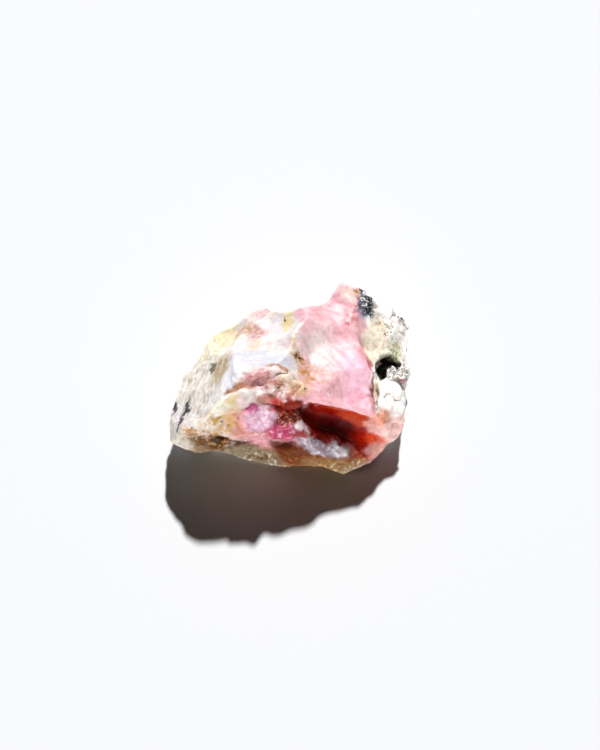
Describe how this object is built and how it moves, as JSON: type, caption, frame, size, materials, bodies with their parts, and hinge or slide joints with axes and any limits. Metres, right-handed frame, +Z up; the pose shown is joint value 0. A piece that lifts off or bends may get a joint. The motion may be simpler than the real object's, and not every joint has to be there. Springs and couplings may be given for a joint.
{
  "type": "rough pink opal",
  "caption": "Broken lump of rough pink opal with a deep hollow in front, a white upper ridge and pale host rock at one end; it lies on a flat face.",
  "frame": {"origin": "on the resting face, under the middle of the stone's outer box", "axes": "+X along the length towards the host rock, +Y away from the broken front with the hollow, +Z up"},
  "size_m": [0.05, 0.038, 0.0233],
  "materials": {
    "opal": "broken opal, waxy to glassy where it split, pink to white with tan veins, passing into chalky white host rock with black specks"
  },
  "bodies": {
    "root": {"pink_opal": "opal"}
  },
  "joints": []
}
